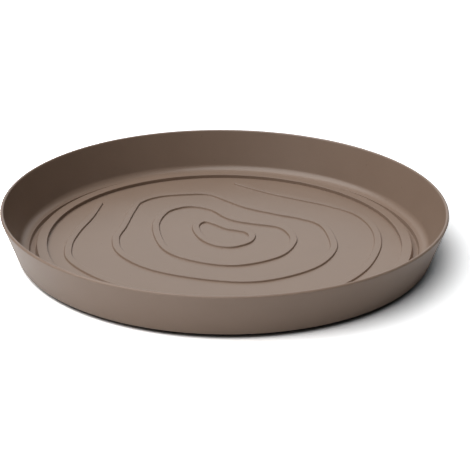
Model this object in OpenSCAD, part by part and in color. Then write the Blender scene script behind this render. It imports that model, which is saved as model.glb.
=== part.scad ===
// Round plant saucer, a single moulding in matte taupe plastic, divided at its moulded features.
// It stands on a ring foot whose inside is a gutter, and its wall flares out to a rounded rim.
// A raised ring and four flat contour ribs hold the pot up off the water on the floor.
// Millimetres, +Z up, origin at the middle of the foot's underside, front towards -Y.

/* [Overall] */
// Outside diameter over the rim
rim_d = 400; // [380:1:480]
// Height from the table to the top of the rim
height = 43.2; // [34:0.2:70]
// Outside diameter where the wall's face would meet the base's underside
base_d = 373; // [320:1:385]

/* [Wall] */
// Thickness of the wall, square to its face
wall_t = 3.2; // [2.2:0.1:5]
// Depth of the rim below its top
rim_h = 6; // [4:0.5:12]
// Radius inside the corner, where the wall runs into the base
corner_r = 8; // [5:0.5:12]
// Radius outside the same corner
heel_r = 2; // [1:0.5:9]
// Straight stretch of wall above the corner's inside round
corner_land = 2; // [1:0.5:5]

/* [Base] */
// Thickness of the base, the foot's channel and the raised ring
base_t = 1.8; // [1.8:0.1:4]
// Flat ledge between the corner's inside round and the gutter
ledge_w = 2; // [1:0.1:5]
// Lean of the small steps from upright, in degrees
draft = 14; // [5:1:20]

/* [Foot ring] */
// Height of the base's underside above the table, and depth of the gutter
foot_h = 3.4; // [1.4:0.1:4]
// Width of the gutter's flat bottom
gutter_w = 4.5; // [3:0.1:8]

/* [Pot ring] */
// Width of the ring's flat top
pot_ring_w = 8.9; // [7:0.1:14]
// Height of the ring's top above the floor
pot_ring_h = 3.2; // [1:0.1:4]

/* [Contour ribs] */
// Width of each rib
rib_w = 7.4; // [4:0.1:10]
// Height of each rib above the floor
rib_h = 1.5; // [0.5:0.1:2.5]
// Gap from the outer rib's furthest place to the raised ring
rib_gap = 8; // [3:0.5:20]

/* [Hidden] */
$fn = 180;
taupe = "#9c8c7f";

// Levels, from the table up
base_z = foot_h;
gutter_z = base_t;
floor_z = base_z + base_t;
ring_z = floor_z + pot_ring_h;
recess_z = ring_z - base_t;

// The wall's outer face runs from the base's edge to touch the rim's round
rim_r = wall_t / 2;
rim_x = rim_d / 2 - rim_r;
rim_top_z = height - rim_r;
rise = [rim_x - base_d / 2, rim_top_z - base_z];
lean = atan2(rise[0], rise[1]) + asin(rim_r / norm(rise));
function outer_r(z) = base_d / 2 + (z - base_z) * tan(lean);
function inner_r(z) = outer_r(z) - wall_t / cos(lean);

// Radii, from the wall in to the floor
corner_reach = tan((90 - lean) / 2);
heel_x = base_d / 2 - heel_r * corner_reach;
corner_x = inner_r(floor_z) - corner_r * corner_reach;
corner_top_z = floor_z + corner_r * (1 - sin(lean)) + corner_land;
rim_low_z = height - rim_h;
function step(h) = h * tan(draft);
gutter_lip_r = corner_x - ledge_w;
gutter_out_r = gutter_lip_r - step(floor_z - gutter_z);
gutter_in_r = gutter_out_r - gutter_w;
ring_out_r = gutter_in_r - step(ring_z - gutter_z);
ring_in_r = ring_out_r - pot_ring_w;
floor_r = ring_in_r - step(pot_ring_h);

// Faces of the channel's two legs and of the ring's inner leg, one thickness behind their fronts
function foot_out_r(z) = gutter_out_r + base_t + step(z - gutter_z);
function foot_in_r(z) = gutter_in_r - base_t - step(z - gutter_z);
function recess_in_r(z) = floor_r + base_t + step(z - floor_z);

// Points along an arc, from one angle to another
arc_steps = 10;
function arc(middle, r, from, to) =
    [for (i = [0:arc_steps])
        let (a = from + (to - from) * i / arc_steps)
        middle + r * [cos(a), sin(a)]];

// Middle lines of the ribs as drawn, each point from the middle of the floor
inner_rib_line = [[-27, 28], [-24, 40], [-17, 44], [-8, 38], [2, 28], [12, 24],
                  [21, 19], [25, 8], [20, -6], [5, -15], [-11, -9], [-22, 7]];
second_rib_line = [[-64, 28], [-58, 63], [-45, 78], [-30, 82], [-12, 74], [2, 55], [13, 46], [32, 39],
                   [50, 33], [60, 18], [62, -5], [47, -36], [10, -55], [-28, -45], [-53, -21]];
third_rib_line = [[-99, -2], [-94, 30], [-88, 71], [-82, 92], [-63, 108], [-30, 115], [-13, 113], [3, 98],
                  [22, 80], [51, 64], [72, 54], [89, 40], [97, 14], [97, -23], [76, -61], [33, -87],
                  [-10, -86], [-60, -67], [-90, -36]];
outer_rib_line = [[-121, 85], [-127, 50], [-136, 15], [-140, -18], [-134, -50], [-105, -86], [-62, -114],
                  [-10, -126], [45, -122], [90, -102], [118, -69], [134, -30], [140, 5], [137, 38],
                  [124, 67], [100, 87], [70, 104], [44, 119], [12, 143]];

// The drawing is stretched until the outer rib's furthest point leaves its gap to the raised ring
drawn_reach = max([for (p = outer_rib_line) norm(p)]);
real_reach = floor_r - rib_gap - rib_w / 2;
function on_floor(points) = points * real_reach / drawn_reach;

// A smooth line through drawn points, with even steps between each two
line_steps = 6;
function between(a, b, c, d, t) =
    b + 0.5 * t * (c - a + t * (2 * a - 5 * b + 4 * c - d + t * (3 * (b - c) + d - a)));
function closed_line(p) =
    let (n = len(p))
    [for (i = [0:n - 1], k = [0:line_steps - 1])
        between(p[(i + n - 1) % n], p[i], p[(i + 1) % n], p[(i + 2) % n], k / line_steps)];
function open_line(p) =
    let (n = len(p), q = concat([2 * p[0] - p[1]], p, [2 * p[n - 1] - p[n - 2]]))
    concat([for (i = [0:n - 2], k = [0:line_steps - 1])
               between(q[i], q[i + 1], q[i + 2], q[i + 3], k / line_steps)],
           [p[n - 1]]);

// The line moved sideways, to its left where the distance is positive
function to_left(u) = [-u[1], u[0]] / norm(u);
function closed_edge(line, distance) =
    let (n = len(line))
    [for (i = [0:n - 1]) line[i] + distance * to_left(line[(i + 1) % n] - line[(i + n - 1) % n])];
function open_edge(line, distance) =
    let (last = len(line) - 1)
    [for (i = [0:last]) line[i] + distance * to_left(line[min(i + 1, last)] - line[max(i - 1, 0)])];
function reversed(list) = [for (i = [len(list) - 1:-1:0]) list[i]];

// Rounded end of an open rib, without the two points that its edges already have
cap_angle = 75;
function cap(end, heading) = arc(end, rib_w / 2, heading - cap_angle, heading + cap_angle);

// Rounded top edge of the wall
module rim() {
    color(taupe)
    rotate_extrude()
    polygon(concat([[inner_r(rim_low_z), rim_low_z], [outer_r(rim_low_z), rim_low_z]],
                   arc([rim_x, rim_top_z], rim_r, -lean, 180 - lean)));
}

// Flared wall of one thickness
module side_wall() {
    color(taupe)
    rotate_extrude()
    polygon([[inner_r(corner_top_z), corner_top_z], [outer_r(corner_top_z), corner_top_z],
             [outer_r(rim_low_z), rim_low_z], [inner_r(rim_low_z), rim_low_z]]);
}

// Rounded corner from the wall to the ledge, which ends at the gutter
module base_corner() {
    color(taupe)
    rotate_extrude()
    polygon(concat([[gutter_lip_r, base_z]],
                   arc([heel_x, base_z + heel_r], heel_r, -90, -lean),
                   [[outer_r(corner_top_z), corner_top_z], [inner_r(corner_top_z), corner_top_z]],
                   arc([corner_x, floor_z + corner_r], corner_r, -lean, -90),
                   [[gutter_lip_r, floor_z]]));
}

// Channel that the saucer stands on, open upwards as the gutter
module foot_ring() {
    color(taupe)
    rotate_extrude()
    polygon([[foot_in_r(0), 0], [foot_out_r(0), 0], [foot_out_r(base_z), base_z], [gutter_lip_r, base_z],
             [gutter_lip_r, floor_z], [gutter_out_r, gutter_z], [foot_in_r(gutter_z), gutter_z]]);
}

// Raised ring around the floor, hollow below
module pot_ring() {
    color(taupe)
    rotate_extrude()
    polygon([[floor_r, base_z], [recess_in_r(base_z), base_z], [recess_in_r(recess_z), recess_z],
             [foot_in_r(recess_z), recess_z], [foot_in_r(gutter_z), gutter_z], [gutter_in_r, gutter_z],
             [ring_out_r, ring_z], [ring_in_r, ring_z], [floor_r, floor_z]]);
}

// Flat disc inside the raised ring
module floor_plate() {
    color(taupe)
    translate([0, 0, base_z])
    cylinder(r = floor_r, h = base_t);
}

// Flat rib on the floor along a closed line
module closed_rib(points) {
    line = closed_line(on_floor(points));
    n = len(line);
    color(taupe)
    translate([0, 0, floor_z])
    linear_extrude(rib_h)
    polygon(concat(closed_edge(line, -rib_w / 2), closed_edge(line, rib_w / 2)),
            [[for (i = [0:n - 1]) i], [for (i = [n:2 * n - 1]) i]]);
}

// Flat rib on the floor along a line with two ends
module open_rib(points) {
    line = open_line(on_floor(points));
    last = len(line) - 1;
    first_way = line[0] - line[1];
    last_way = line[last] - line[last - 1];
    color(taupe)
    translate([0, 0, floor_z])
    linear_extrude(rib_h)
    polygon(concat(open_edge(line, -rib_w / 2),
                   cap(line[last], atan2(last_way[1], last_way[0])),
                   reversed(open_edge(line, rib_w / 2)),
                   cap(line[0], atan2(first_way[1], first_way[0]))));
}

rim();
side_wall();
base_corner();
foot_ring();
pot_ring();
floor_plate();
closed_rib(inner_rib_line);  // inner_rib
closed_rib(second_rib_line);  // second_rib
closed_rib(third_rib_line);  // third_rib
open_rib(outer_rib_line);  // outer_rib
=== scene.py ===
import math

import bmesh
import bpy
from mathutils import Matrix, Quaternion, Vector


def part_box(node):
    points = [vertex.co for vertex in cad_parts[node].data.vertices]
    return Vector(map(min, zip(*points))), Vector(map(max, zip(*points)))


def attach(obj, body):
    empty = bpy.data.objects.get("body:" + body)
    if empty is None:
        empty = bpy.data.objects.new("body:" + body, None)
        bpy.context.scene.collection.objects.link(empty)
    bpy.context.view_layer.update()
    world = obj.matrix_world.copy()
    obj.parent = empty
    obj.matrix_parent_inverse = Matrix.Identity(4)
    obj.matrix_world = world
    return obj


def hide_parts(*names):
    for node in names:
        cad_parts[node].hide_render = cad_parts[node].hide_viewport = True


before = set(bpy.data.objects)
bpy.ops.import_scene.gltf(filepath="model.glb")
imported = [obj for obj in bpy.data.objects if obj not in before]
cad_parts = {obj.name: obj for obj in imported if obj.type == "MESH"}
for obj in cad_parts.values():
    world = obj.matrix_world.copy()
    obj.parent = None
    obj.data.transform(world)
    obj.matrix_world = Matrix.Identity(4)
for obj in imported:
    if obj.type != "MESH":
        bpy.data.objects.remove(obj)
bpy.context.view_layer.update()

# Foot ring: the channel that the saucer stands on, whose open top is the gutter round the floor.
# It is moulded in one shot with all the rest, from matte taupe plastic, so its edges are softly
# rounded and its steps lean a little to let the moulding leave the tool.
MM = 0.001
DRAFT = math.radians(14)
EDGE = 0.4 * MM
CREASE = 0.3 * MM
SAME_POINT = 0.01 * MM
TURN_STEPS = 256
SHARP_ANGLE = math.radians(40)
DEEP_TAUPE = (0.285, 0.2, 0.15, 1)
PALE_TAUPE = (0.3, 0.212, 0.16, 1)
CLOUDS_PER_METRE = 22
SPECKS_PER_METRE = 60
GRAINS_PER_METRE = 2200
GRAIN_DEPTH = 0.05 * MM


def step(height):
    """How far a step leans back over its height."""
    return height * math.tan(DRAFT)


def matte_taupe_plastic():
    plastic = bpy.data.materials.new("matte_taupe_plastic")
    plastic.use_nodes = True
    nodes = plastic.node_tree.nodes
    join = plastic.node_tree.links.new
    skin = nodes["Principled BSDF"]
    place = nodes.new("ShaderNodeTexCoord")

    clouds = nodes.new("ShaderNodeTexNoise")
    clouds.inputs["Scale"].default_value = CLOUDS_PER_METRE
    clouds.inputs["Detail"].default_value = 4
    join(place.outputs["Object"], clouds.inputs["Vector"])
    pigment = nodes.new("ShaderNodeValToRGB")
    pigment.color_ramp.elements[0].position = 0.3
    pigment.color_ramp.elements[0].color = DEEP_TAUPE
    pigment.color_ramp.elements[1].position = 0.7
    pigment.color_ramp.elements[1].color = PALE_TAUPE
    join(clouds.outputs["Fac"], pigment.inputs["Fac"])

    specks = nodes.new("ShaderNodeTexVoronoi")
    specks.inputs["Scale"].default_value = SPECKS_PER_METRE
    join(place.outputs["Object"], specks.inputs["Vector"])
    speck_tone = nodes.new("ShaderNodeMapRange")
    speck_tone.inputs["From Min"].default_value = 0.02
    speck_tone.inputs["From Max"].default_value = 0.045
    speck_tone.inputs["To Min"].default_value = 0.75
    join(specks.outputs["Distance"], speck_tone.inputs["Value"])
    speckled = nodes.new("ShaderNodeMix")
    speckled.data_type = "RGBA"
    speckled.blend_type = "MULTIPLY"
    speckled.inputs["Factor"].default_value = 1
    join(pigment.outputs["Color"], speckled.inputs["A"])
    join(speck_tone.outputs["Result"], speckled.inputs["B"])
    join(speckled.outputs["Result"], skin.inputs["Base Color"])

    satin = nodes.new("ShaderNodeMapRange")
    satin.inputs["To Min"].default_value = 0.3
    satin.inputs["To Max"].default_value = 0.36
    join(clouds.outputs["Fac"], satin.inputs["Value"])
    join(satin.outputs["Result"], skin.inputs["Roughness"])

    grain = nodes.new("ShaderNodeTexNoise")
    grain.inputs["Scale"].default_value = GRAINS_PER_METRE
    grain.inputs["Detail"].default_value = 2
    join(place.outputs["Object"], grain.inputs["Vector"])
    relief = nodes.new("ShaderNodeBump")
    relief.inputs["Strength"].default_value = 0.25
    relief.inputs["Distance"].default_value = GRAIN_DEPTH
    join(grain.outputs["Fac"], relief.inputs["Height"])
    join(relief.outputs["Normal"], skin.inputs["Normal"])
    return plastic


plastic = matte_taupe_plastic()


def moulded_piece(name, shape, node):
    mesh = bpy.data.meshes.new(name)
    shape.to_mesh(mesh)
    shape.free()
    mesh.materials.append(plastic)
    mesh.shade_smooth()
    mesh.set_sharp_from_angle(angle=SHARP_ANGLE)
    piece = bpy.data.objects.new(name, mesh)
    bpy.context.scene.collection.objects.link(piece)
    even_shading = piece.modifiers.new("even_shading", "WEIGHTED_NORMAL")
    even_shading.keep_sharp = True
    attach(piece, "root")
    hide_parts(node)


def round_steps(reach):
    """Segments of a round, of which a longer one has more."""
    return 4 + int(1.5 * reach / MM)


def turned_shape(corners):
    """Turns a section of (radius, height, reach) corners; each round reaches that far along its sides."""
    shape = bmesh.new()
    points = [shape.verts.new((radius, 0, height)) for radius, height, reach in corners]
    shape.faces.new(points)
    for point, (radius, height, reach) in zip(points, corners):
        if reach:
            bmesh.ops.bevel(shape, geom=[point], offset=reach, offset_type="OFFSET",
                            segments=round_steps(reach), profile=0.5, affect="VERTICES", material=-1)
    bmesh.ops.remove_doubles(shape, verts=shape.verts[:], dist=SAME_POINT)
    bmesh.ops.delete(shape, geom=shape.faces[:], context="FACES_ONLY")
    bmesh.ops.spin(shape, geom=shape.verts[:] + shape.edges[:], cent=(0, 0, 0), axis=(0, 0, 1),
                   angle=math.tau, steps=TURN_STEPS, use_merge=True)
    bmesh.ops.recalc_face_normals(shape, faces=shape.faces[:])
    return shape


base_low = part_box("base_corner")[0].z
floor_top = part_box("floor_plate")[1].z
base_t = floor_top - base_low
gutter_bottom = base_t
foot_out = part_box("foot_ring")[1].x
gutter_out = foot_out - base_t - step(base_low - gutter_bottom)
gutter_lip = gutter_out + step(floor_top - gutter_bottom)
gutter_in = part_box("pot_ring")[1].x
foot_in = gutter_in - base_t

moulded_piece("saucer_foot_ring", turned_shape([
    (foot_in + step(gutter_bottom), 0, EDGE),
    (foot_out - step(base_low), 0, EDGE),
    (foot_out, base_low, 0),
    (gutter_lip, base_low, 0),
    (gutter_lip, floor_top - EDGE, 0),
    (gutter_out, gutter_bottom, CREASE),
    (foot_in, gutter_bottom, 0),
]), "foot_ring")

# Base corner: the turn from the wall into the base, with the narrow ledge beside the gutter. It is
# the same moulding, with a wide round inside, which wipes clean, and a small round outside.
WALL_T = 3.2 * MM
CORNER_R = 8 * MM
HEEL_R = 2 * MM
corner_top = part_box("base_corner")[1].z
corner_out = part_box("base_corner")[1].x
wall_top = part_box("side_wall")[1].z
wall_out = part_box("side_wall")[1].x
flare = (wall_out - corner_out) / (wall_top - corner_top)
lean = math.atan(flare)
wall_across = WALL_T / math.cos(lean)
turn_reach = math.tan((math.pi / 2 - lean) / 2)


def outside(height):
    return corner_out + flare * (height - corner_top)


def inside(height):
    return outside(height) - wall_across


moulded_piece("saucer_base_corner", turned_shape([
    (gutter_lip, base_low, 0),
    (outside(base_low), base_low, HEEL_R * turn_reach),
    (outside(corner_top), corner_top, 0),
    (inside(corner_top), corner_top, 0),
    (inside(floor_top), floor_top, CORNER_R * turn_reach),
    (gutter_lip, floor_top, EDGE),
]), "base_corner")

# Side wall: the flared wall, which keeps the water in. It is the same plastic at one thickness all
# the way up, moulded straight from the corner to the rim.
moulded_piece("saucer_side_wall", turned_shape([
    (inside(corner_top), corner_top, 0),
    (outside(corner_top), corner_top, 0),
    (outside(wall_top), wall_top, 0),
    (inside(wall_top), wall_top, 0),
]), "side_wall")

# Rim: the top edge of the wall, by which the saucer is carried. It is moulded with a full round,
# as wide as the wall is thick, so that no sharp edge meets the hand.
rim_round = WALL_T / 2
rim_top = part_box("rim")[1].z
rim_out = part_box("rim")[1].x
round_middle = Vector((rim_out - rim_round, rim_top - rim_round))
along = Vector((math.sin(lean), math.cos(lean)))
across = Vector((math.cos(lean), -math.sin(lean)))
rim_outer_corner = round_middle + rim_round * (along + across)
rim_inner_corner = round_middle + rim_round * (along - across)

moulded_piece("saucer_rim", turned_shape([
    (inside(wall_top), wall_top, 0),
    (outside(wall_top), wall_top, 0),
    (*rim_outer_corner, rim_round),
    (*rim_inner_corner, rim_round),
]), "rim")

# Pot ring: the raised ring round the floor, which a wide pot stands on. It is moulded hollow
# below, so that the plastic is about as thick there as elsewhere, and its inner step stands
# almost upright.
INNER_STEP_LEAN = 0.1 * MM
ring_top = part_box("pot_ring")[1].z
floor_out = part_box("floor_plate")[1].x
ring_in = floor_out + step(ring_top - floor_top)
ring_foot = ring_in - INNER_STEP_LEAN
ring_out = gutter_in - step(ring_top - gutter_bottom)
recess_top = ring_top - base_t
recess_in = floor_out + base_t

moulded_piece("saucer_pot_ring", turned_shape([
    (floor_out, base_low, 0),
    (recess_in - step(floor_top - base_low), base_low, EDGE),
    (recess_in - step(floor_top - recess_top), recess_top, CREASE),
    (foot_in - step(recess_top - gutter_bottom), recess_top, CREASE),
    (foot_in, gutter_bottom, 0),
    (gutter_in, gutter_bottom, 0),
    (ring_out, ring_top, EDGE),
    (ring_in, ring_top, EDGE),
    (ring_foot, floor_top, 0),
    (floor_out, floor_top, 0),
]), "pot_ring")

# Floor plate: the flat disc inside the raised ring, where the drained water stands. It is moulded
# with the ring, at the thickness of the base.
floor_shape = bmesh.new()
bmesh.ops.create_cone(floor_shape, cap_ends=True, segments=TURN_STEPS, radius1=floor_out,
                      radius2=floor_out, depth=base_t)
bmesh.ops.translate(floor_shape, vec=(0, 0, base_low + base_t / 2), verts=floor_shape.verts[:])
moulded_piece("saucer_floor_plate", floor_shape, "floor_plate")

# Contour ribs: flat raised lines on the floor, like the contours of a hill, which keep a pot up
# off the water. They are cut in the mould with leaning sides and a softened top edge.
RIB_LEAN = math.radians(25)
FLAT_ANGLE = math.radians(0.05)


def rib_shape(node):
    shape = bmesh.new()
    shape.from_mesh(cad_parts[node].data)
    bmesh.ops.remove_doubles(shape, verts=shape.verts[:], dist=SAME_POINT)
    bmesh.ops.dissolve_limit(shape, angle_limit=FLAT_ANGLE, verts=shape.verts[:], edges=shape.edges[:])
    rib_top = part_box(node)[1].z
    narrowing = (rib_top - floor_top) * math.tan(RIB_LEAN)
    brow = [edge for edge in shape.edges
            if all(end.co.z > rib_top - SAME_POINT for end in edge.verts)
            and edge.calc_face_angle(0) > SHARP_ANGLE]
    brow_ends = {end for edge in brow for end in edge.verts}
    outward = {end: sum((face.normal for face in end.link_faces if abs(face.normal.z) < 0.5), Vector())
               for end in brow_ends}
    for end in brow_ends:
        bmesh.ops.translate(shape, vec=-narrowing * outward[end].normalized(), verts=[end])
    bmesh.ops.bevel(shape, geom=brow, offset=EDGE, offset_type="OFFSET", segments=3,
                    profile=0.5, affect="EDGES", material=-1)
    return shape


for node in ("inner_rib", "second_rib", "third_rib", "outer_rib"):
    moulded_piece("saucer_" + node, rib_shape(node), node)

# Table: a wide sheet of white paper that the saucer stands on, which takes its soft shadow. Its
# colour has a painted pool of light, brightest at the front left next to the low panel, painted
# shade close under the saucer's base, and a faint painted glow.
TABLE_REACH = 6
PAINTED_LIGHT_TOWARDS = (-0.9, -0.45, 0)
PAINTED_SHADE_REACH = 7 * MM
PAPER_BOUNCE = (0.72, 0.72, 0.72, 1)
PAPER_PAINTED_GLOW = (0.9, 1, 1.07, 1)


def white_paper():
    sheet = bpy.data.materials.new("white_sheet")
    sheet.use_nodes = True
    nodes = sheet.node_tree.nodes
    join = sheet.node_tree.links.new
    paper = nodes["Principled BSDF"]
    paper.inputs["Roughness"].default_value = 0.9
    paper.inputs["Specular IOR Level"].default_value = 0
    # Painted glow: a faint bluish white light that the sheet gives off itself.
    paper.inputs["Emission Color"].default_value = PAPER_PAINTED_GLOW

    place = nodes.new("ShaderNodeTexCoord")
    to_panel = nodes.new("ShaderNodeVectorMath")
    to_panel.operation = "DOT_PRODUCT"
    to_panel.inputs[1].default_value = PAINTED_LIGHT_TOWARDS
    join(place.outputs["Object"], to_panel.inputs[0])
    # Painted light: the sheet's colour, as the camera sees it, grows brighter towards the front left, a
    # painted pool of light from the low panel.
    painted_panel_light = nodes.new("ShaderNodeMapRange")
    painted_panel_light.interpolation_type = "SMOOTHSTEP"
    painted_panel_light.inputs["From Min"].default_value = -80 * MM
    painted_panel_light.inputs["From Max"].default_value = 260 * MM
    painted_panel_light.inputs["To Min"].default_value = 1.55
    painted_panel_light.inputs["To Max"].default_value = 4.2
    join(to_panel.outputs["Value"], painted_panel_light.inputs["Value"])

    # Painted shade: ambient occlusion darkens the sheet's colour close under the saucer's base, and also
    # sets how much the sheet glows.
    painted_shade_occlusion = nodes.new("ShaderNodeAmbientOcclusion")
    painted_shade_occlusion.samples = 16
    painted_shade_occlusion.inputs["Distance"].default_value = PAINTED_SHADE_REACH
    painted_contact_shade = nodes.new("ShaderNodeMapRange")
    painted_contact_shade.inputs["From Min"].default_value = 0.15
    painted_contact_shade.inputs["From Max"].default_value = 0.75
    join(painted_shade_occlusion.outputs["AO"], painted_contact_shade.inputs["Value"])
    painted_light_and_shade = nodes.new("ShaderNodeMath")
    painted_light_and_shade.operation = "MULTIPLY"
    join(painted_panel_light.outputs["Result"], painted_light_and_shade.inputs[0])
    join(painted_contact_shade.outputs["Result"], painted_light_and_shade.inputs[1])

    seen = nodes.new("ShaderNodeLightPath")
    pale = nodes.new("ShaderNodeMath")
    pale.operation = "MULTIPLY_ADD"
    join(seen.outputs["Is Glossy Ray"], pale.inputs[0])
    pale.inputs[1].default_value = 0.13
    join(seen.outputs["Is Camera Ray"], pale.inputs[2])
    shade = nodes.new("ShaderNodeMix")
    shade.data_type = "RGBA"
    shade.inputs["A"].default_value = PAPER_BOUNCE
    join(painted_light_and_shade.outputs["Value"], shade.inputs["B"])
    join(pale.outputs["Value"], shade.inputs["Factor"])
    join(shade.outputs["Result"], paper.inputs["Base Color"])

    # Painted glow: the sheet emits faint light, less close under the base, which lifts the saucer's
    # shadow.
    painted_glow = nodes.new("ShaderNodeMapRange")
    painted_glow.inputs["From Min"].default_value = 0.35
    painted_glow.inputs["To Max"].default_value = 0.12
    join(painted_shade_occlusion.outputs["AO"], painted_glow.inputs["Value"])
    painted_glow_strength = nodes.new("ShaderNodeMath")
    painted_glow_strength.operation = "MULTIPLY"
    join(painted_glow.outputs["Result"], painted_glow_strength.inputs[0])
    join(pale.outputs["Value"], painted_glow_strength.inputs[1])
    join(painted_glow_strength.outputs["Value"], paper.inputs["Emission Strength"])
    return sheet


table_shape = bmesh.new()
bmesh.ops.create_grid(table_shape, x_segments=1, y_segments=1, size=TABLE_REACH)
table_mesh = bpy.data.meshes.new("white_table")
table_shape.to_mesh(table_mesh)
table_shape.free()
table_mesh.materials.append(white_paper())
table = bpy.data.objects.new("white_table", table_mesh)
bpy.context.scene.collection.objects.link(table)

# Light: a broad soft box high on the left, a low white panel at the front left, which lifts the
# outside of the wall, and a white backdrop behind, which shows as a faint sheen on the floor.
KEY_FROM = Vector((-0.37, -0.07, 0.92))
KEY_STRENGTH = 2.75
KEY_WIDTH = math.radians(68)
PANEL_AT = Vector((-300, -460, 85)) * MM
PANEL_FACING = Vector((300, 460, 0))
PANEL_LENGTH = 700 * MM
PANEL_HEIGHT = 160 * MM
PANEL_STRENGTH = 0.42
BACKDROP_AT = Vector((0, 0.9, 0.42))


def aimed_lamp(lamp_data, facing):
    lamp = bpy.data.objects.new(lamp_data.name, lamp_data)
    lamp.rotation_mode = "QUATERNION"
    lamp.rotation_quaternion = facing.to_track_quat("-Z", "Y")
    bpy.context.scene.collection.objects.link(lamp)
    return lamp


def white_backdrop():
    backdrop_world = bpy.data.worlds.new("white_backdrop")
    backdrop_world.use_nodes = True
    nodes = backdrop_world.node_tree.nodes
    join = backdrop_world.node_tree.links.new
    ray = nodes.new("ShaderNodeLightPath")
    sky = nodes.new("ShaderNodeTexCoord")
    to_backdrop = nodes.new("ShaderNodeVectorMath")
    to_backdrop.operation = "DOT_PRODUCT"
    to_backdrop.inputs[1].default_value = BACKDROP_AT.normalized()
    join(sky.outputs["Generated"], to_backdrop.inputs[0])
    backdrop = nodes.new("ShaderNodeMapRange")
    backdrop.interpolation_type = "SMOOTHSTEP"
    backdrop.inputs["From Min"].default_value = 0.75
    join(to_backdrop.outputs["Value"], backdrop.inputs["Value"])
    sheen = nodes.new("ShaderNodeMath")
    sheen.operation = "MULTIPLY"
    join(ray.outputs["Is Glossy Ray"], sheen.inputs[0])
    join(backdrop.outputs["Result"], sheen.inputs[1])
    shown = nodes.new("ShaderNodeMath")
    shown.operation = "MAXIMUM"
    join(ray.outputs["Is Camera Ray"], shown.inputs[0])
    join(sheen.outputs["Value"], shown.inputs[1])
    nodes["Background"].inputs["Color"].default_value = (1, 1, 1, 1)
    join(shown.outputs["Value"], nodes["Background"].inputs["Strength"])
    return backdrop_world


soft_box = bpy.data.lights.new("soft_box", "SUN")
soft_box.energy = KEY_STRENGTH
soft_box.angle = KEY_WIDTH
aimed_lamp(soft_box, -KEY_FROM)

low_panel = bpy.data.lights.new("low_panel", "AREA")
low_panel.shape = "RECTANGLE"
low_panel.size = PANEL_LENGTH
low_panel.size_y = PANEL_HEIGHT
low_panel.energy = PANEL_STRENGTH
aimed_lamp(low_panel, PANEL_FACING).location = PANEL_AT

bpy.context.scene.world = white_backdrop()
bpy.context.scene.view_settings.view_transform = "Standard"

# Camera: a long lens in front of the saucer and a little above it, aimed close to the middle of
# the floor and turned by less than a degree.
VIEW_FROM = 1310 * MM
VIEW_UP = math.radians(23.25)
LENS = 110.3
AIM = Vector((9.4, 2.8, 9.1)) * MM
TILT = Quaternion((0, 0, 1), math.radians(0.65))
camera_data = bpy.data.cameras.new("camera")
camera_data.lens = LENS
camera = bpy.data.objects.new("camera", camera_data)
camera.location = (0, -VIEW_FROM * math.cos(VIEW_UP), VIEW_FROM * math.sin(VIEW_UP) + base_low)
camera.rotation_mode = "QUATERNION"
camera.rotation_quaternion = (AIM - camera.location).to_track_quat("-Z", "Y") @ TILT
bpy.context.scene.collection.objects.link(camera)
bpy.context.scene.camera = camera
